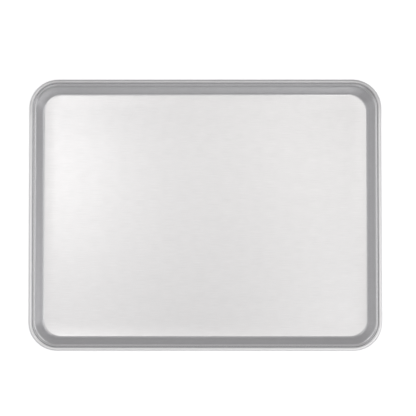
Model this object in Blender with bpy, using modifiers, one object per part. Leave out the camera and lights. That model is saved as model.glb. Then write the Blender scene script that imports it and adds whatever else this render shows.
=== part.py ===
"""Sheet pan: one drawn aluminium sheet, its rim rolled round a steel wire.

The sheet is a flat floor that lifts in a slow curve near its edge, and then bends up to tapered walls.
At the top the wall flares out to a narrow sloping shoulder, and the sheet's edge is then curled over,
outwards and back in, round a wire ring that keeps the rim straight. The corners are rounder at the
floor than the rim would ask, so that the sheet can be drawn. Metres, +Z up, origin on the underside
below the middle of the floor.
"""

import math

import bmesh
import bpy

# Overall sizes, to the outside of the rolled rim
PAN_LENGTH = 0.400
PAN_WIDTH = 0.3075
PAN_HEIGHT = 0.025
RIM_CORNER_RADIUS = 0.033

# The sheet. Bend radii are those of the food side, and slopes are counted from the floor
SHEET_THICKNESS = 0.0009
FLOOR_LIFT_RADIUS = 0.16
FLOOR_LIFT_SLOPE = math.radians(5)
FLOOR_CORNER_RADIUS = 0.019
FLOOR_BEND_RADIUS = 0.003
WALL_SLOPE = math.radians(72)
FLARE_RADIUS = 0.0055
SHOULDER_SLOPE = math.radians(33)
SHOULDER_LENGTH = 0.0015
CREASE_RADIUS = 0.0009
BEAD_RISER_SLOPE = math.radians(78)
CURL_EDGE_GAP = 0.0004

# The wire inside the rolled rim, its two ends butted at the middle of the back side
WIRE_DIAMETER = 0.0025
WIRE_CLEARANCE = 0.0003
WIRE_BUTT_GAP = 0.0015

# How finely bends are drawn
CORNER_STEPS = 12
LIFT_STEPS = 4
BEND_STEP = math.radians(9)
BEAD_STEP = math.radians(18)
WIRE_BEVEL_RESOLUTION = 3
SHARP_EDGE = math.radians(40)

CORNER_STEP = math.pi / 2 / CORNER_STEPS
CORNER_CENTRE_X = PAN_LENGTH / 2 - RIM_CORNER_RADIUS
CORNER_CENTRE_Y = PAN_WIDTH / 2 - RIM_CORNER_RADIUS
BEAD_RADIUS = WIRE_DIAMETER / 2 + WIRE_CLEARANCE + SHEET_THICKNESS
BEAD_CENTRE_HEIGHT = PAN_HEIGHT - BEAD_RADIUS
FLOOR_LIFT = FLOOR_LIFT_RADIUS * (1 - math.cos(FLOOR_LIFT_SLOPE))


def clear_scene():
    for obj in list(bpy.data.objects):
        bpy.data.objects.remove(obj, do_unlink=True)


def new_collection(name):
    collection = bpy.data.collections.new(name)
    bpy.context.scene.collection.children.link(collection)
    return collection


def metal(name, colour, roughness):
    """A bare metal finish."""
    material = bpy.data.materials.new(name)
    material.use_nodes = True
    shader = material.node_tree.nodes["Principled BSDF"]
    shader.inputs["Base Color"].default_value = (*colour, 1.0)
    shader.inputs["Metallic"].default_value = 1.0
    shader.inputs["Roughness"].default_value = roughness
    return material


class Profile:
    """A cross-section drawn as a bender sees it: from a point, along straights and round bends."""

    def __init__(self, x, z, heading):
        self.x = x
        self.z = z
        self.heading = heading
        self.points = [(x, z)]

    def straight(self, length):
        self.x += length * math.cos(self.heading)
        self.z += length * math.sin(self.heading)
        self.points.append((self.x, self.z))

    def bend(self, radius, turn, step):
        """Turns left for a positive turn and right for a negative one, in equal steps."""
        side = math.copysign(1.0, turn)
        centre_x = self.x - side * radius * math.sin(self.heading)
        centre_z = self.z + side * radius * math.cos(self.heading)
        count = max(2, round(abs(turn) / step))
        start = self.heading
        for i in range(1, count + 1):
            self.heading = start + turn * i / count
            self.x = centre_x + side * radius * math.sin(self.heading)
            self.z = centre_z - side * radius * math.cos(self.heading)
            self.points.append((self.x, self.z))


def straight_wall_length():
    """What the bends and the shoulder leave of the height, measured along the wall."""
    rise_of_bends = (
        FLOOR_BEND_RADIUS * (math.cos(FLOOR_LIFT_SLOPE) - math.cos(WALL_SLOPE))
        + FLARE_RADIUS * (math.cos(SHOULDER_SLOPE) - math.cos(WALL_SLOPE))
        + SHOULDER_LENGTH * math.sin(SHOULDER_SLOPE)
        + CREASE_RADIUS * (math.cos(SHOULDER_SLOPE) - math.cos(BEAD_RISER_SLOPE))
        + BEAD_RADIUS * (1 - math.cos(BEAD_RISER_SLOPE))
    )
    return (PAN_HEIGHT - SHEET_THICKNESS - FLOOR_LIFT - rise_of_bends) / math.sin(WALL_SLOPE)


def curl_gap_angle():
    """The angle, seen from the wire, between the bead's root and the sheet's edge, which stops
    CURL_EDGE_GAP short of the crease's back."""
    to_crease_centre = BEAD_RADIUS + CREASE_RADIUS
    edge_to_crease_centre = CREASE_RADIUS + SHEET_THICKNESS + CURL_EDGE_GAP
    cosine = (BEAD_RADIUS**2 + to_crease_centre**2 - edge_to_crease_centre**2) / (
        2 * BEAD_RADIUS * to_crease_centre
    )
    return math.acos(cosine)


def sheet_profile():
    """The food side of the sheet from the floor bend to the curled edge, with the wire's centre as
    origin, x outwards and z up."""
    profile = Profile(0.0, SHEET_THICKNESS + FLOOR_LIFT, FLOOR_LIFT_SLOPE)
    profile.bend(FLOOR_BEND_RADIUS, WALL_SLOPE - FLOOR_LIFT_SLOPE, BEND_STEP)
    profile.straight(straight_wall_length())
    profile.bend(FLARE_RADIUS, SHOULDER_SLOPE - WALL_SLOPE, BEND_STEP)
    profile.straight(SHOULDER_LENGTH)
    profile.bend(CREASE_RADIUS, BEAD_RISER_SLOPE - SHOULDER_SLOPE, BEAD_STEP)
    # Over the wire in quarters, so that a point falls on the bead's top, outside and underside
    profile.bend(BEAD_RADIUS, -BEAD_RISER_SLOPE, BEAD_STEP)
    top_x = profile.x
    profile.bend(BEAD_RADIUS, -math.pi / 2, BEAD_STEP)
    profile.bend(BEAD_RADIUS, -math.pi / 2, BEAD_STEP)
    last_turn = math.pi - BEAD_RISER_SLOPE - curl_gap_angle()
    profile.bend(BEAD_RADIUS, -last_turn, BEAD_STEP)
    return [(x - top_x, z - BEAD_CENTRE_HEIGHT) for x, z in profile.points]


def rim_line_points():
    """The wire's centre line, seen from above, anticlockwise from the middle of the back side.

    Corner points lie half a step off the ends of each arc and just outside it, so that the line is
    the true rounded rectangle's tangent polygon and every cross-section stands square to it.
    """
    reach = (RIM_CORNER_RADIUS - BEAD_RADIUS) / math.cos(CORNER_STEP / 2)
    points = []
    for corner, (side_x, side_y) in enumerate(((-1, 1), (-1, -1), (1, -1), (1, 1))):
        start = math.pi / 2 * (corner + 1)
        for i in range(CORNER_STEPS):
            angle = start + CORNER_STEP * (i + 0.5)
            x = side_x * CORNER_CENTRE_X + reach * math.cos(angle)
            y = side_y * CORNER_CENTRE_Y + reach * math.sin(angle)
            points.append((x, y))
    return points


def add_line(name, points, closed, flat):
    """A polyline as a curve object."""
    curve = bpy.data.curves.new(name, "CURVE")
    curve.dimensions = "2D" if flat else "3D"
    curve.fill_mode = "NONE" if flat else "FULL"
    spline = curve.splines.new("POLY")
    spline.points.add(len(points) - 1)
    for point, (x, y) in zip(spline.points, points):
        point.co = (x, y, 0.0, 1.0)
    spline.use_cyclic_u = closed
    return bpy.data.objects.new(name, curve)


def mesh_of(obj):
    """The object's evaluated shape as a mesh of its own."""
    bpy.context.view_layer.update()
    graph = bpy.context.evaluated_depsgraph_get()
    return bpy.data.meshes.new_from_object(obj.evaluated_get(graph))


def round_floor_corners(mesh, floor_edge_x, floor_edge_z):
    """Makes the corners rounder with depth, from concentric with the rim at the wire's height to
    FLOOR_CORNER_RADIUS where the floor bends up. Each level's arc grows from the corner of its
    rectangle, so that the straight sides stay where they are."""
    concentric_floor_radius = RIM_CORNER_RADIUS - BEAD_RADIUS + floor_edge_x
    wall_starts_at = RIM_CORNER_RADIUS - 2 * BEAD_RADIUS
    for vertex in mesh.vertices:
        in_x = abs(vertex.co.x) - CORNER_CENTRE_X
        in_y = abs(vertex.co.y) - CORNER_CENTRE_Y
        radius = math.hypot(in_x, in_y) * math.cos(CORNER_STEP / 2)
        if radius < wall_starts_at:
            depth = max(0.0, vertex.co.z / floor_edge_z)
            growth = depth * (FLOOR_CORNER_RADIUS - concentric_floor_radius)
            vertex.co.x -= math.copysign(growth * (1 - in_x / radius), vertex.co.x)
            vertex.co.y -= math.copysign(growth * (1 - in_y / radius), vertex.co.y)


def close_floor(mesh):
    """Fills the opening that the swept wall leaves in the middle, which is the floor, and lets it
    down from its edge to the flat, ring by ring."""
    wall = bmesh.new()
    wall.from_mesh(mesh)
    lowest = min(vertex.co.z for vertex in wall.verts)
    on_floor = 0.1 * SHEET_THICKNESS
    floor_edges = [
        edge
        for edge in wall.edges
        if edge.is_boundary and all(vertex.co.z < lowest + on_floor for vertex in edge.verts)
    ]
    bmesh.ops.holes_fill(wall, edges=floor_edges)
    bmesh.ops.recalc_face_normals(wall, faces=wall.faces)
    floor = max(wall.faces, key=lambda face: face.calc_area())
    if floor.normal.z < 0:
        bmesh.ops.reverse_faces(wall, faces=wall.faces)
    for i in range(LIFT_STEPS, 0, -1):
        outer = FLOOR_LIFT_SLOPE * i / LIFT_STEPS
        inner = FLOOR_LIFT_SLOPE * (i - 1) / LIFT_STEPS
        bmesh.ops.inset_region(
            wall,
            faces=[floor],
            thickness=FLOOR_LIFT_RADIUS * (math.sin(outer) - math.sin(inner)),
            depth=-FLOOR_LIFT_RADIUS * (math.cos(inner) - math.cos(outer)),
            use_even_offset=True,
        )
    wall.to_mesh(mesh)
    wall.free()


def build_pan_body(parts, guides):
    """The sheet: its food side is swept round the rim line, and Solidify gives it its gauge."""
    profile = sheet_profile()
    section = add_line("sheet_section", profile, closed=False, flat=True)
    path = add_line("rim_line", rim_line_points(), closed=True, flat=False)
    for guide in (section, path):
        guides.objects.link(guide)
        guide.hide_render = True
        guide.display_type = "WIRE"
    path.data.bevel_mode = "OBJECT"
    path.data.bevel_object = section

    mesh = mesh_of(path)
    mesh.name = "pan_body"
    path.data.bevel_mode = "ROUND"
    path.data.bevel_object = None
    round_floor_corners(mesh, *profile[0])
    close_floor(mesh)

    body = bpy.data.objects.new("pan_body", mesh)
    body.location.z = BEAD_CENTRE_HEIGHT
    parts.objects.link(body)
    mesh.materials.append(metal("satin_aluminium", (0.78, 0.78, 0.79), 0.38))
    gauge = body.modifiers.new("sheet gauge", "SOLIDIFY")
    gauge.thickness = SHEET_THICKNESS
    gauge.offset = -1.0
    gauge.use_even_offset = True
    mesh.shade_smooth()
    mesh.set_sharp_from_angle(angle=SHARP_EDGE)


def build_rim_wire(parts):
    """The wire, an open ring: the rim line again, its first and last points at the butted ends."""
    back_y = PAN_WIDTH / 2 - BEAD_RADIUS
    half_gap = WIRE_BUTT_GAP / 2
    points = [(-half_gap, back_y), *rim_line_points(), (half_gap, back_y)]
    wire = add_line("rim_wire", points, closed=False, flat=False)
    wire.location.z = BEAD_CENTRE_HEIGHT
    wire.data.bevel_depth = WIRE_DIAMETER / 2
    wire.data.bevel_resolution = WIRE_BEVEL_RESOLUTION
    wire.data.use_fill_caps = True
    wire.data.materials.append(metal("galvanised_wire", (0.52, 0.53, 0.54), 0.45))
    parts.objects.link(wire)


def main():
    clear_scene()
    parts = new_collection("sheet_pan")
    guides = new_collection("guides")
    build_pan_body(parts, guides)
    build_rim_wire(parts)


main()
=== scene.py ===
import math

import bmesh
import bpy
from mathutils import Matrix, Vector


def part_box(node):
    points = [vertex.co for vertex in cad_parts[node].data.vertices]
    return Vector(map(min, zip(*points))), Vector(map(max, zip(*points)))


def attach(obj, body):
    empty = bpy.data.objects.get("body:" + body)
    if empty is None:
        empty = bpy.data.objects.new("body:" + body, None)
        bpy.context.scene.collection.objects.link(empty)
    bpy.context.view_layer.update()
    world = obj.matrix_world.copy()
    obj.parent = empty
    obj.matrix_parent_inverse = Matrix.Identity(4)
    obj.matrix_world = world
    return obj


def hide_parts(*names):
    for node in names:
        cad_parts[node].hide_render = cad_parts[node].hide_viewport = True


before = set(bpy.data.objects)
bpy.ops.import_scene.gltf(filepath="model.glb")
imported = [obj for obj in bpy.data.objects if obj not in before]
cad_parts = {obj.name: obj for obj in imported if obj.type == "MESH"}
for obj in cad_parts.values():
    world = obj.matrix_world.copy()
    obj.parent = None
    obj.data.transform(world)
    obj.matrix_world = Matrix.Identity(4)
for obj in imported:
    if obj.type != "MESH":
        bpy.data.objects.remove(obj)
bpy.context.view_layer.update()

# The pan
# One blank of rolled aluminium sheet, drawn to a shallow tray with flared walls and left with a satin
# finish. The blank's edge is rolled outwards over a wire and back in under the shoulder. The section
# is drawn from the floor bend to the curled edge, spun round one corner, run out along the two half
# sides that meet there, and mirrored.
pan_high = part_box("pan_body")[1]
HALF_LENGTH = pan_high.x
HALF_WIDTH = pan_high.y
RIM_TOP = pan_high.z
RIM_CORNER_RADIUS = 0.033
SHEET_GAUGE = 0.0009
FLOOR_LIFT_RADIUS = 0.16
FLOOR_LIFT_SLOPE = math.radians(5)
FLOOR_CORNER_RADIUS = 0.019
FLOOR_BEND_RADIUS = 0.003
WALL_SLOPE = math.radians(72)
FLARE_RADIUS = 0.0055
SHOULDER_SLOPE = math.radians(33)
SHOULDER_LENGTH = 0.0015
CREASE_RADIUS = 0.0009
BEAD_RISER_SLOPE = math.radians(78)
BEAD_RADIUS = 0.00245
CURL_EDGE_GAP = 0.0004

CORNER_STEPS = 32
SIDE_STEP = 0.02
LIFT_STEPS = 8
BEND_STEP = math.radians(5)
BEAD_STEP = math.radians(9)
SMOOTH_BELOW = math.radians(35)
FLOOR_WAVE_HEIGHT = 0.0004
FLOOR_WAVE_SIZE = 0.11
FLOOR_WAVE_FADE = 0.05

ALUMINIUM = (0.87, 0.866, 0.876, 1)
# The dull colour also serves as painted shade on the walls
DULL_AND_SHADED_ALUMINIUM = (0.72, 0.717, 0.725, 1)
# The bead colour is partly burnish and partly a painted highlight
BEAD_BURNISH_AND_HIGHLIGHT = (0.91, 0.906, 0.912, 1)
# The back rim colour is painted shade
BACK_RIM_PAINTED_SHADE = (0.67, 0.668, 0.675, 1)
# The crease colour is painted shade
CREASE_PAINTED_SHADE = (0.2, 0.2, 0.21, 1)
SATIN_ROUGHNESS = 0.33
SHOULDER_ROUGHNESS = 0.24
BEAD_ROUGHNESS = 0.4
DULL_PATCH_ROUGHNESS = 0.06
DULLING_AND_SHADE_SPAN = (0.08, 0.46)
ON_WALL = (0.002, 0.008)
WALL_MIDDLE = 0.0125
WALL_ENDS = (0.002, 0.007)
STRAIGHT_SIDE_RUB = 0.35
ON_SHOULDER = (0.021, 0.023)
SHOULDER_RUB_AND_HIGHLIGHT = 0.7
ON_BEAD = (0.0259, 0.0264)
CREASE_AT = 0.0257
CREASE_FADE = (0.0002, 0.0009)
THINNEST_CREASE_SHADE = 0.8
AT_BACK = (0.105, 0.15)
BACK_CREASE_SHADE = 0.05
ROLLING_GRAIN = (60, 3600, 0)
ROLLING_BANDS = (3, 70, 0)
DRAWING_STREAKS = (700, 700, 25)
BEAD_ROLLER_LINES = (12, 12, 2600)
SATIN_MOTTLE = (90, 90, 0)
SCUFF_LINES = (9, 900, 0)
SCUFF_SLANTS = (math.radians(28), math.radians(-55))
SCUFF_CUT = (0.64, 0.74)
LINE_DEPTH = 0.00001

CORNER_X = HALF_LENGTH - RIM_CORNER_RADIUS
CORNER_Y = HALF_WIDTH - RIM_CORNER_RADIUS
WIRE_HEIGHT = RIM_TOP - BEAD_RADIUS
FLOOR_LIFT = FLOOR_LIFT_RADIUS * (1 - math.cos(FLOOR_LIFT_SLOPE))
BEND_START_HEIGHT = SHEET_GAUGE + FLOOR_LIFT
ON_FLOOR = 1e-7


def start_piece(name, at):
    """A new mesh of one point, open in edit mode with the point selected."""
    bpy.ops.object.select_all(action="DESELECT")
    bpy.ops.mesh.primitive_plane_add(size=0.001, location=at)
    bpy.ops.object.transform_apply(location=True)
    piece = bpy.context.object
    piece.name = piece.data.name = name
    bpy.ops.object.mode_set(mode="EDIT")
    bpy.ops.mesh.select_mode(type="VERT")
    bpy.ops.mesh.select_all(action="SELECT")
    bpy.ops.mesh.merge(type="CENTER")
    return piece


def select_points(piece, wanted):
    """Selects the points that pass a test, and the edges and faces whose points all do."""
    bpy.ops.mesh.select_mode(type="VERT")
    bpy.ops.mesh.select_all(action="DESELECT")
    shape = bmesh.from_edit_mesh(piece.data)
    for point in shape.verts:
        point.select = wanted(point)
    shape.select_flush_mode()
    bmesh.update_edit_mesh(piece.data)


def extrude(move):
    """Extrudes what is selected."""
    bpy.ops.mesh.extrude_region_move(TRANSFORM_OT_translate={"value": move})


class SectionPen:
    """Draws a section in the XZ plane from the selected point: straights, and bends to the left for
    a positive turn and to the right for a negative one."""

    def __init__(self, start, heading):
        self.place = start.copy()
        self.heading = heading

    def straight(self, length):
        move = length * Vector((math.cos(self.heading), 0, math.sin(self.heading)))
        extrude(move)
        self.place += move

    def bend(self, radius, turn, step):
        side = math.copysign(radius, turn)
        centre = self.place + side * Vector((-math.sin(self.heading), 0, math.cos(self.heading)))
        steps = max(2, round(abs(turn) / step))
        bpy.ops.mesh.spin(steps=steps, angle=turn, center=centre, axis=(0, 1, 0))
        self.heading += turn
        self.place = centre - side * Vector((-math.sin(self.heading), 0, math.cos(self.heading)))


def wall_length():
    """What the bends and the shoulder leave of the height, measured along the wall."""
    rise_of_bends = (
        FLOOR_BEND_RADIUS * (math.cos(FLOOR_LIFT_SLOPE) - math.cos(WALL_SLOPE))
        + FLARE_RADIUS * (math.cos(SHOULDER_SLOPE) - math.cos(WALL_SLOPE))
        + SHOULDER_LENGTH * math.sin(SHOULDER_SLOPE)
        + CREASE_RADIUS * (math.cos(SHOULDER_SLOPE) - math.cos(BEAD_RISER_SLOPE))
        + BEAD_RADIUS * (1 - math.cos(BEAD_RISER_SLOPE))
    )
    return (RIM_TOP - BEND_START_HEIGHT - rise_of_bends) / math.sin(WALL_SLOPE)


def rim_overhang():
    """How far the floor bend's start lies inside the rim's outermost line."""
    return (
        FLOOR_BEND_RADIUS * (math.sin(WALL_SLOPE) - math.sin(FLOOR_LIFT_SLOPE))
        + wall_length() * math.cos(WALL_SLOPE)
        + FLARE_RADIUS * (math.sin(WALL_SLOPE) - math.sin(SHOULDER_SLOPE))
        + SHOULDER_LENGTH * math.cos(SHOULDER_SLOPE)
        + CREASE_RADIUS * (math.sin(BEAD_RISER_SLOPE) - math.sin(SHOULDER_SLOPE))
        + BEAD_RADIUS * (1 + math.sin(BEAD_RISER_SLOPE))
    )


def curl_turn():
    """How far the sheet turns over the wire before its edge stops short of the crease's back."""
    to_crease = BEAD_RADIUS + CREASE_RADIUS
    edge_to_crease = CREASE_RADIUS + SHEET_GAUGE + CURL_EDGE_GAP
    gap_cosine = (BEAD_RADIUS**2 + to_crease**2 - edge_to_crease**2) / (2 * BEAD_RADIUS * to_crease)
    return 2 * math.pi - math.acos(gap_cosine)


# The section, drawn where the corner begins
FLOOR_HALF_LENGTH = HALF_LENGTH - rim_overhang()
FLOOR_HALF_WIDTH = HALF_WIDTH - rim_overhang()
section_start = Vector((FLOOR_HALF_LENGTH, CORNER_Y, BEND_START_HEIGHT))
pan = start_piece("drawn_pan", section_start)
pen = SectionPen(section_start, FLOOR_LIFT_SLOPE)
pen.bend(FLOOR_BEND_RADIUS, WALL_SLOPE - FLOOR_LIFT_SLOPE, BEND_STEP)
pen.straight(wall_length() / 2)
pen.straight(wall_length() / 2)
pen.bend(FLARE_RADIUS, SHOULDER_SLOPE - WALL_SLOPE, BEND_STEP)
pen.straight(SHOULDER_LENGTH)
pen.bend(CREASE_RADIUS, BEAD_RISER_SLOPE - SHOULDER_SLOPE, BEAD_STEP)
pen.bend(BEAD_RADIUS, -curl_turn(), BEAD_STEP)

# Each point of the section keeps its run, the distance along the sheet from the floor bend's start
shape = bmesh.from_edit_mesh(pan.data)
run = shape.verts.layers.float.new("run")
point = min(shape.verts, key=lambda vert: (section_start - vert.co).length)
passed = None
distance = 0.0
levels = []
while point:
    point[run] = distance
    levels.append((distance, point.co.copy()))
    onward = [edge for edge in point.link_edges if edge != passed]
    passed = onward[0] if onward else None
    distance += passed.calc_length() if passed else 0.0
    point = passed.other_vert(point) if passed else None
bmesh.update_edit_mesh(pan.data)

# One corner, and half of each side that meets there
bpy.ops.mesh.select_all(action="SELECT")
bpy.ops.mesh.spin(
    steps=CORNER_STEPS, angle=math.radians(90), center=(CORNER_X, CORNER_Y, 0), axis=(0, 0, -1)
)
steps_along = round(CORNER_X / SIDE_STEP)
for _ in range(steps_along):
    extrude((-CORNER_X / steps_along, 0, 0))
select_points(pan, lambda point: abs(point.co.y - CORNER_Y) < 1e-6 and point.co.x > CORNER_X)
steps_across = round(CORNER_Y / SIDE_STEP)
for _ in range(steps_across):
    extrude((0, -CORNER_Y / steps_across, 0))

# Each point keeps its turn round the corner too, before the corner changes shape
shape = bmesh.from_edit_mesh(pan.data)
turn = shape.verts.layers.float.new("turn")
for point in shape.verts:
    past_x = max(0.0, point.co.x - CORNER_X)
    past_y = max(0.0, point.co.y - CORNER_Y)
    point[turn] = math.atan2(past_y, past_x)
bmesh.update_edit_mesh(pan.data)

# Below the rim the corner grows rounder with depth, so that the sheet can be drawn
run = shape.verts.layers.float.get("run")
corner_growth = FLOOR_CORNER_RADIUS - (FLOOR_HALF_LENGTH - CORNER_X)
for distance, at in levels:
    radius = at.x - CORNER_X
    depth = (WIRE_HEIGHT - at.z) / (WIRE_HEIGHT - BEND_START_HEIGHT)
    if depth <= 0 or radius > RIM_CORNER_RADIUS - 2 * BEAD_RADIUS:
        continue
    select_points(
        pan,
        lambda point: abs(point[run] - distance) < 1e-7
        and point.co.x > CORNER_X - 1e-6
        and point.co.y > CORNER_Y - 1e-6,
    )
    grown = 1 + depth * corner_growth / radius
    bpy.ops.transform.resize(
        value=(grown, grown, 1), center_override=(CORNER_X + radius, CORNER_Y + radius, at.z)
    )

# The other three quarters
bpy.ops.object.mode_set(mode="OBJECT")
mirror = pan.modifiers.new("other quarters", "MIRROR")
mirror.use_axis = (True, True, False)
mirror.merge_threshold = 1e-5
bpy.ops.object.modifier_apply(modifier=mirror.name)

# The floor is closed, and let down from its edge to the flat ring by ring
bpy.ops.object.mode_set(mode="EDIT")
run = bmesh.from_edit_mesh(pan.data).verts.layers.float.get("run")
select_points(pan, lambda point: point[run] < ON_FLOOR)
bpy.ops.mesh.edge_face_add()
bpy.ops.mesh.select_all(action="SELECT")
bpy.ops.mesh.normals_make_consistent(inside=False)
run = bmesh.from_edit_mesh(pan.data).verts.layers.float.get("run")
select_points(pan, lambda point: point[run] < ON_FLOOR)
for i in range(LIFT_STEPS, 0, -1):
    outer = FLOOR_LIFT_SLOPE * i / LIFT_STEPS
    inner = FLOOR_LIFT_SLOPE * (i - 1) / LIFT_STEPS
    bpy.ops.mesh.inset(
        thickness=FLOOR_LIFT_RADIUS * (math.sin(outer) - math.sin(inner)),
        depth=-FLOOR_LIFT_RADIUS * (math.cos(inner) - math.cos(outer)),
        use_even_offset=True,
    )

# The flat is cut to a grid that can be pressed
for axis, reach, steps in ((0, CORNER_X, steps_along), (1, CORNER_Y, steps_across)):
    for i in range(1 - steps, steps):
        place = Vector((0, 0, SHEET_GAUGE))
        place[axis] = reach * i / steps
        across = Vector((0, 0, 0))
        across[axis] = 1
        select_points(pan, lambda point: point.co.z < SHEET_GAUGE + ON_FLOOR)
        bpy.ops.mesh.bisect(plane_co=place, plane_no=across)
bpy.ops.object.mode_set(mode="OBJECT")

# Drawn sheet is never quite flat: the floor lifts up to 0.4 mm off the shelf, in slow waves
waves = bpy.data.textures.new("floor_waves", "CLOUDS")
waves.noise_scale = FLOOR_WAVE_SIZE
lift_width = FLOOR_LIFT_RADIUS * math.sin(FLOOR_LIFT_SLOPE)
waved = pan.vertex_groups.new(name="waved")
for vertex in pan.data.vertices:
    if vertex.co.z < SHEET_GAUGE + ON_FLOOR:
        inside = min(FLOOR_HALF_LENGTH - abs(vertex.co.x), FLOOR_HALF_WIDTH - abs(vertex.co.y))
        share = min(1.0, max(0.0, (inside - lift_width) / FLOOR_WAVE_FADE))
        waved.add([vertex.index], share * share * (3 - 2 * share), "REPLACE")
press = pan.modifiers.new("floor waves", "DISPLACE")
press.texture = waves
press.texture_coords = "LOCAL"
press.vertex_group = waved.name
press.direction = "Z"
press.mid_level = 0.0
press.strength = FLOOR_WAVE_HEIGHT
bpy.ops.object.modifier_apply(modifier=press.name)

gauge = pan.modifiers.new("sheet gauge", "SOLIDIFY")
gauge.thickness = SHEET_GAUGE
gauge.offset = -1.0
gauge.use_even_offset = True
bpy.ops.object.modifier_apply(modifier=gauge.name)
bpy.ops.object.shade_smooth_by_angle(angle=SMOOTH_BELOW)

# Where each point lay on the flat blank, which the rolling grain follows, and where it went in the
# draw: how far round the rim, wound on a circle of the rim's length, and how far up the wall
QUARTER_RIM = CORNER_X + RIM_CORNER_RADIUS * math.pi / 2 + CORNER_Y
WOUND_RADIUS = 2 * QUARTER_RIM / math.pi
on_blank = pan.data.attributes.new("blank", "FLOAT_VECTOR", "POINT").data
in_draw = pan.data.attributes.new("draw", "FLOAT_VECTOR", "POINT").data
runs = pan.data.attributes["run"].data
turns = pan.data.attributes["turn"].data
for vertex in pan.data.vertices:
    run_here = runs[vertex.index].value
    turn_here = turns[vertex.index].value
    side_x = math.copysign(1, vertex.co.x)
    side_y = math.copysign(1, vertex.co.y)
    past_x = abs(vertex.co.x)
    past_y = abs(vertex.co.y)
    if run_here > ON_FLOOR:
        past_x = min(past_x, FLOOR_HALF_LENGTH - FLOOR_CORNER_RADIUS * (1 - math.cos(turn_here)))
        past_y = min(past_y, FLOOR_HALF_WIDTH - FLOOR_CORNER_RADIUS * (1 - math.sin(turn_here)))
        past_x += run_here * math.cos(turn_here)
        past_y += run_here * math.sin(turn_here)
    on_blank[vertex.index].vector = (side_x * past_x, side_y * past_y, 0)
    round_rim = min(abs(vertex.co.y), CORNER_Y) + RIM_CORNER_RADIUS * turn_here
    round_rim += CORNER_X - min(abs(vertex.co.x), CORNER_X)
    angle = round_rim / WOUND_RADIUS
    in_draw[vertex.index].vector = (
        side_x * WOUND_RADIUS * math.cos(angle),
        side_y * WOUND_RADIUS * math.sin(angle),
        run_here,
    )


def add_node(tree, kind, **inputs):
    """Adds a shader node. An input is given a value, or the output socket that feeds it."""
    node = tree.nodes.new(kind)
    for name, value in inputs.items():
        socket = node.inputs[name.replace("_", " ")]
        if isinstance(value, bpy.types.NodeSocket):
            tree.links.new(value, socket)
        else:
            socket.default_value = value
    return node


def join(tree, operation, *values):
    """Numbers and value sockets joined by a Math node's operation, from left to right."""
    result = values[0]
    for value in values[1:]:
        node = tree.nodes.new("ShaderNodeMath")
        node.operation = operation
        for socket, part in zip(node.inputs, (result, value)):
            if isinstance(part, bpy.types.NodeSocket):
                tree.links.new(part, socket)
            else:
                socket.default_value = part
        result = node.outputs["Value"]
    return result


def through(tree, operation, value):
    """A value socket through a Math node of one number."""
    node = tree.nodes.new("ShaderNodeMath")
    node.operation = operation
    tree.links.new(value, node.inputs[0])
    return node.outputs["Value"]


def remap(tree, value, low, high, to_low=0.0, to_high=1.0):
    """A value moved from one range to another, and kept inside it."""
    ends = {"From_Min": low, "From_Max": high, "To_Min": to_low, "To_Max": to_high}
    return add_node(tree, "ShaderNodeMapRange", Value=value, **ends).outputs["Result"]


def add_up(tree, *layers):
    """Layers added up, each times its share."""
    total = 0.0
    for layer, share in layers:
        total = join(tree, "ADD", join(tree, "MULTIPLY", layer, share), total)
    return total


def blend_colours(tree, share, first, second):
    """The first colour where the share is 0, the second where it is 1."""
    node = tree.nodes.new("ShaderNodeMix")
    node.data_type = "RGBA"
    sockets = [socket for socket in node.inputs if socket.enabled]
    for socket, value in zip(sockets, (share, first, second)):
        if isinstance(value, bpy.types.NodeSocket):
            tree.links.new(value, socket)
        else:
            socket.default_value = value
    return next(socket for socket in node.outputs if socket.enabled)


def new_finish(name):
    """A metal finish: its material, node tree and shader."""
    material = bpy.data.materials.new(name)
    material.use_nodes = True
    shader = material.node_tree.nodes["Principled BSDF"]
    shader.inputs["Metallic"].default_value = 1.0
    return material, material.node_tree, shader


def make_tool_lines():
    """A node group of the fine lines that rollers and dies leave in metal. They are 0.5 on average,
    and long on the axis that has few of them to the metre."""
    group = bpy.data.node_groups.new("tool_lines", "ShaderNodeTree")
    for name in ("Vector", "Per Metre"):
        group.interface.new_socket(name, in_out="INPUT", socket_type="NodeSocketVector")
    group.interface.new_socket("Lines", in_out="OUTPUT", socket_type="NodeSocketFloat")
    given = group.nodes.new("NodeGroupInput")
    made = group.nodes.new("NodeGroupOutput")
    scaled = group.nodes.new("ShaderNodeVectorMath")
    scaled.operation = "MULTIPLY"
    group.links.new(given.outputs["Vector"], scaled.inputs[0])
    group.links.new(given.outputs["Per Metre"], scaled.inputs[1])
    noise = add_node(group, "ShaderNodeTexNoise", Vector=scaled.outputs[0], Scale=1.0, Detail=3.0)
    group.links.new(noise.outputs["Fac"], made.inputs["Lines"])
    return group


def add_tool_lines(tree, vector, per_metre):
    """Places the group of tool lines in a material."""
    node = tree.nodes.new("ShaderNodeGroup")
    node.node_tree = tool_lines
    tree.links.new(vector, node.inputs["Vector"])
    node.inputs["Per Metre"].default_value = per_metre
    return node.outputs["Lines"]


tool_lines = make_tool_lines()
satin, tree, shader = new_finish("satin_aluminium")
blank, draw, run_up, turned = (tree.nodes.new("ShaderNodeAttribute") for _ in range(4))
blank.attribute_name = "blank"
draw.attribute_name = "draw"
run_up.attribute_name = "run"
turned.attribute_name = "turn"

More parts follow.
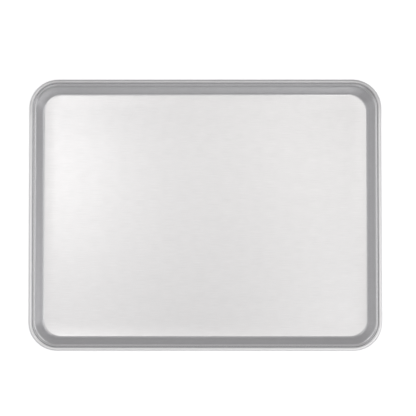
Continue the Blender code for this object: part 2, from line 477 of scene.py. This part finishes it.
grain = add_tool_lines(tree, blank.outputs["Vector"], ROLLING_GRAIN)
bands = add_tool_lines(tree, blank.outputs["Vector"], ROLLING_BANDS)
streaks = add_tool_lines(tree, draw.outputs["Vector"], DRAWING_STREAKS)
roller_lines = add_tool_lines(tree, draw.outputs["Vector"], BEAD_ROLLER_LINES)
mottle = add_tool_lines(tree, blank.outputs["Vector"], SATIN_MOTTLE)
run_up = run_up.outputs["Fac"]
on_wall = remap(tree, run_up, *ON_WALL)
on_shoulder = remap(tree, run_up, *ON_SHOULDER)
on_bead = remap(tree, run_up, *ON_BEAD)
in_crease = through(tree, "ABSOLUTE", join(tree, "SUBTRACT", run_up, CREASE_AT))
in_crease = remap(tree, in_crease, *CREASE_FADE, 1, 0)
wall_end_shade = through(tree, "ABSOLUTE", join(tree, "SUBTRACT", run_up, WALL_MIDDLE))
wall_end_shade = join(tree, "MULTIPLY", remap(tree, wall_end_shade, *WALL_ENDS), on_wall)

# The draw rubs the sheet hardest in the corners
corner = through(tree, "SINE", join(tree, "MULTIPLY", turned.outputs["Fac"], 2.0))
rubbed = join(tree, "MULTIPLY", on_wall, remap(tree, corner, 0, 1, STRAIGHT_SIDE_RUB, 1))
wall_streaks = join(tree, "MULTIPLY", streaks, rubbed)

# Faint scuffs, a few long scratches at two slants
scuffs = 0.0
for slant in SCUFF_SLANTS:
    turned_blank = add_node(tree, "ShaderNodeVectorRotate", Vector=blank.outputs["Vector"], Angle=slant)
    scratches = add_tool_lines(tree, turned_blank.outputs["Vector"], SCUFF_LINES)
    scuffs = join(tree, "ADD", remap(tree, scratches, *SCUFF_CUT), scuffs)

# All of it dulls the metal, each by its share. The walls, most towards their ends, are also painted
# darker than the floor as painted shade
dulling_and_wall_shade = add_up(
    tree,
    (grain, 0.38),
    (bands, 0.04),
    (mottle, 0.11),
    (wall_streaks, 0.18),
    (scuffs, 0.04),
    (on_wall, 0.09),
    (wall_end_shade, 0.09),
)
dulling_and_wall_shade = remap(tree, dulling_and_wall_shade, *DULLING_AND_SHADE_SPAN)
colour = blend_colours(tree, dulling_and_wall_shade, ALUMINIUM, DULL_AND_SHADED_ALUMINIUM)
# The shoulder and the bead are lighter, partly for burnish and partly as painted highlight
colour = blend_colours(tree, join(tree, "MULTIPLY", on_shoulder, SHOULDER_RUB_AND_HIGHLIGHT), colour, BEAD_BURNISH_AND_HIGHLIGHT)
colour = blend_colours(tree, on_bead, colour, BEAD_BURNISH_AND_HIGHLIGHT)

# Along the back the rim is painted darker, as painted shade
place = tree.nodes.new("ShaderNodeTexCoord").outputs["Object"]
across = add_node(tree, "ShaderNodeSeparateXYZ", Vector=place).outputs["Y"]
at_back = remap(tree, across, *AT_BACK)
colour = blend_colours(tree, join(tree, "MULTIPLY", at_back, on_shoulder), colour, BACK_RIM_PAINTED_SHADE)
# The crease is painted dark as painted shade, patchy along the drawing streaks and faint along the back
crease_shade = join(tree, "MULTIPLY", in_crease, remap(tree, streaks, 0.3, 0.6, THINNEST_CREASE_SHADE, 1))
crease_shade = join(tree, "MULTIPLY", crease_shade, remap(tree, at_back, 0, 1, 1, BACK_CREASE_SHADE))
colour = blend_colours(tree, crease_shade, colour, CREASE_PAINTED_SHADE)
tree.links.new(colour, shader.inputs["Base Color"])

roughness = add_up(
    tree,
    (dulling_and_wall_shade, DULL_PATCH_ROUGHNESS),
    (on_shoulder, SHOULDER_ROUGHNESS - SATIN_ROUGHNESS),
    (on_bead, BEAD_ROUGHNESS - SHOULDER_ROUGHNESS),
)
roughness = join(tree, "ADD", roughness, SATIN_ROUGHNESS - DULL_PATCH_ROUGHNESS / 2)
tree.links.new(roughness, shader.inputs["Roughness"])

bead_lines = join(tree, "MULTIPLY", roller_lines, on_bead)
relief = add_up(tree, (grain, 1.0), (wall_streaks, 2.0), (bead_lines, 1.0), (scuffs, -0.5))
bump = add_node(tree, "ShaderNodeBump", Height=relief, Distance=LINE_DEPTH)
tree.links.new(bump.outputs["Normal"], shader.inputs["Normal"])
pan.data.materials.clear()
pan.data.materials.append(satin)

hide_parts("pan_body")
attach(pan, "root")

# The rim wire
# Galvanised steel wire bent to the rim's outline, its two cut ends butted at the middle of the back.
# The sheet is rolled over it, so it shows only in the narrow gap of the curl, from below.
WIRE_RADIUS = 0.00125
WIRE_BUTT_GAP = 0.0015
WIRE_SIDES = 16
WIRE_CORNER_STEPS = 16
WIRE_END_CHAMFER = 0.0002
ZINC = (0.55, 0.56, 0.57, 1)
PALE_ZINC = (0.66, 0.67, 0.68, 1)
ZINC_ROUGHNESS = 0.45
FACET_ROUGHNESS = 0.06
SPANGLES_PER_METRE = 900
ZINC_CRUST = (1500, 1500, 1500)

wire_y = HALF_WIDTH - BEAD_RADIUS
bpy.ops.object.select_all(action="DESELECT")
bpy.ops.mesh.primitive_circle_add(
    vertices=WIRE_SIDES,
    radius=WIRE_RADIUS,
    fill_type="NGON",
    location=(WIRE_BUTT_GAP / 2, wire_y, WIRE_HEIGHT),
    rotation=(0, math.radians(90), 0),
)
bpy.ops.object.transform_apply(location=True, rotation=True)
wire = bpy.context.object
wire.name = wire.data.name = "bead_wire"
bpy.ops.object.mode_set(mode="EDIT")
bpy.ops.mesh.select_mode(type="FACE")
bpy.ops.mesh.select_all(action="SELECT")
straights = (
    (CORNER_X - WIRE_BUTT_GAP / 2, 0),
    (0, -2 * CORNER_Y),
    (-2 * CORNER_X, 0),
    (0, 2 * CORNER_Y),
)
corners = ((1, 1), (1, -1), (-1, -1), (-1, 1))
for (along, across), (side_x, side_y) in zip(straights, corners):
    extrude((along, across, 0))
    bpy.ops.mesh.spin(
        steps=WIRE_CORNER_STEPS,
        angle=math.radians(90),
        center=(side_x * CORNER_X, side_y * CORNER_Y, WIRE_HEIGHT),
        axis=(0, 0, 1),
    )
extrude((CORNER_X - WIRE_BUTT_GAP / 2, 0, 0))
select_points(wire, lambda point: abs(abs(point.co.x) - WIRE_BUTT_GAP / 2) < 1e-5 and point.co.y > 0)
bpy.ops.mesh.bevel(offset=WIRE_END_CHAMFER, segments=2, affect="EDGES")
bpy.ops.mesh.select_all(action="SELECT")
bpy.ops.mesh.normals_make_consistent(inside=False)
bpy.ops.object.mode_set(mode="OBJECT")
bpy.ops.object.shade_smooth_by_angle(angle=SMOOTH_BELOW)

zinc, tree, shader = new_finish("galvanised_wire")
place = tree.nodes.new("ShaderNodeTexCoord").outputs["Object"]
spangle = add_node(tree, "ShaderNodeTexVoronoi", Vector=place, Scale=SPANGLES_PER_METRE)
facet = tree.nodes.new("ShaderNodeSeparateColor")
tree.links.new(spangle.outputs["Color"], facet.inputs[0])
tree.links.new(blend_colours(tree, facet.outputs[0], ZINC, PALE_ZINC), shader.inputs["Base Color"])
roughness_span = (ZINC_ROUGHNESS - FACET_ROUGHNESS, ZINC_ROUGHNESS + FACET_ROUGHNESS)
zinc_roughness = remap(tree, facet.outputs[1], 0, 1, *roughness_span)
tree.links.new(zinc_roughness, shader.inputs["Roughness"])
crust = add_tool_lines(tree, place, ZINC_CRUST)
bump = add_node(tree, "ShaderNodeBump", Height=crust, Distance=LINE_DEPTH)
tree.links.new(bump.outputs["Normal"], shader.inputs["Normal"])
wire.data.materials.clear()
wire.data.materials.append(zinc)

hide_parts("rim_wire")
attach(wire, "root")

# The studio
# A white table, a dim even room and large soft boxes round a camera that looks nearly straight down.
# The table glows a little towards the camera and in mirrors, so that it reads white at a light level
# that leaves the pan its own colours.
TABLE_SIZE = 60.0
TABLE_COLOUR = (0.8, 0.8, 0.8, 1)
TABLE_GLOW = 0.58
ROOM_BRIGHTNESS = 0.42
ROOM_COLOUR = (0.995, 0.992, 1.0, 1)
WARM = (1.0, 0.98, 0.945)
WHITE = (1.0, 0.985, 0.97)
COOL = (0.975, 0.985, 1.0)
CAMERA_PLACE = (0.007, -0.0518, 1.63)
CAMERA_TILT = (math.radians(2.12), math.radians(0.14), 0)
CAMERA_LENS = 123.05

bpy.ops.object.select_all(action="DESELECT")
bpy.ops.mesh.primitive_plane_add(size=TABLE_SIZE)
studio_table = bpy.context.object
studio_table.name = "studio_table"
white = bpy.data.materials.new("white_table")
white.use_nodes = True
tree = white.node_tree
tree.nodes.clear()
matt = add_node(tree, "ShaderNodeBsdfDiffuse", Color=TABLE_COLOUR)
rays = tree.nodes.new("ShaderNodeLightPath")
seen = join(
    tree, "MAXIMUM", *(rays.outputs[f"Is {kind} Ray"] for kind in ("Camera", "Glossy", "Transmission"))
)
glow = add_node(tree, "ShaderNodeEmission", Strength=join(tree, "MULTIPLY", seen, TABLE_GLOW))
both = tree.nodes.new("ShaderNodeAddShader")
tree.links.new(matt.outputs[0], both.inputs[0])
tree.links.new(glow.outputs[0], both.inputs[1])
output = tree.nodes.new("ShaderNodeOutputMaterial")
tree.links.new(both.outputs[0], output.inputs["Surface"])
studio_table.data.materials.append(white)


def hang_soft_box(name, place, aim, width, height, brightness, colour):
    """Hangs a soft box, out of the camera's sight. The brightness is that of its face, 1 for white."""
    bpy.ops.object.light_add(type="AREA", location=place)
    box = bpy.context.object
    box.name = box.data.name = name
    box.rotation_euler = (Vector(place) - Vector(aim)).to_track_quat("Z", "Y").to_euler()
    box.data.shape = "RECTANGLE"
    box.data.size = width
    box.data.size_y = height
    box.data.color = colour
    box.data.energy = brightness * math.pi * width * height
    box.visible_camera = False


PAN = (0, 0, 0)
hang_soft_box("overhead_bank", (-0.04, 0.07, 1.2), PAN, 0.8, 0.6, 0.42, WARM)
hang_soft_box("key_back_left", (-0.45, 0.25, 1.43), PAN, 0.4, 0.4, 1.3, WHITE)
hang_soft_box("key_back_right", (0.25, 0.38, 1.43), PAN, 0.4, 0.4, 0.78, WARM)
hang_soft_box("key_front_right", (0.32, -0.5, 1.35), PAN, 0.4, 0.4, 1.4, WARM)
hang_soft_box("near_right", (0.29, -0.02, 0.9), (0.29, -0.02, 0), 0.28, 0.4, 0.36, WARM)
hang_soft_box("near_left", (-0.36, 0.07, 0.9), (-0.36, 0.07, 0), 0.28, 0.28, 0.48, WHITE)
hang_soft_box("near_front_left", (-0.33, -0.29, 0.9), (-0.33, -0.29, 0), 0.28, 0.28, 0.65, WHITE)
hang_soft_box("front_right", (0.68, -0.49, 1.21), PAN, 1.1, 0.5, 1.05, COOL)
hang_soft_box("front", (0, -1.15, 0.96), PAN, 0.9, 0.36, 0.48, COOL)
hang_soft_box("left", (-1.32, 0, 0.7), PAN, 1.04, 0.36, 0.47, COOL)
hang_soft_box("right", (1.44, 0, 0.41), PAN, 1.13, 0.36, 0.87, COOL)
hang_soft_box("low_back_right", (1.05, 1.05, 0.16), PAN, 1.17, 0.3, 1.45, COOL)
hang_soft_box("low_back_left", (-1.05, 1.05, 0.16), PAN, 1.17, 0.3, 1.45, COOL)

camera_data = bpy.data.cameras.new("camera")
camera = bpy.data.objects.new("camera", camera_data)
bpy.context.scene.collection.objects.link(camera)
bpy.context.scene.camera = camera
camera.location = CAMERA_PLACE
camera.rotation_euler = CAMERA_TILT
camera_data.lens = CAMERA_LENS

room = bpy.data.worlds.new("room")
bpy.context.scene.world = room
room.use_nodes = True
background = room.node_tree.nodes["Background"]
background.inputs["Color"].default_value = ROOM_COLOUR
background.inputs["Strength"].default_value = ROOM_BRIGHTNESS

bpy.context.scene.view_settings.view_transform = "Standard"
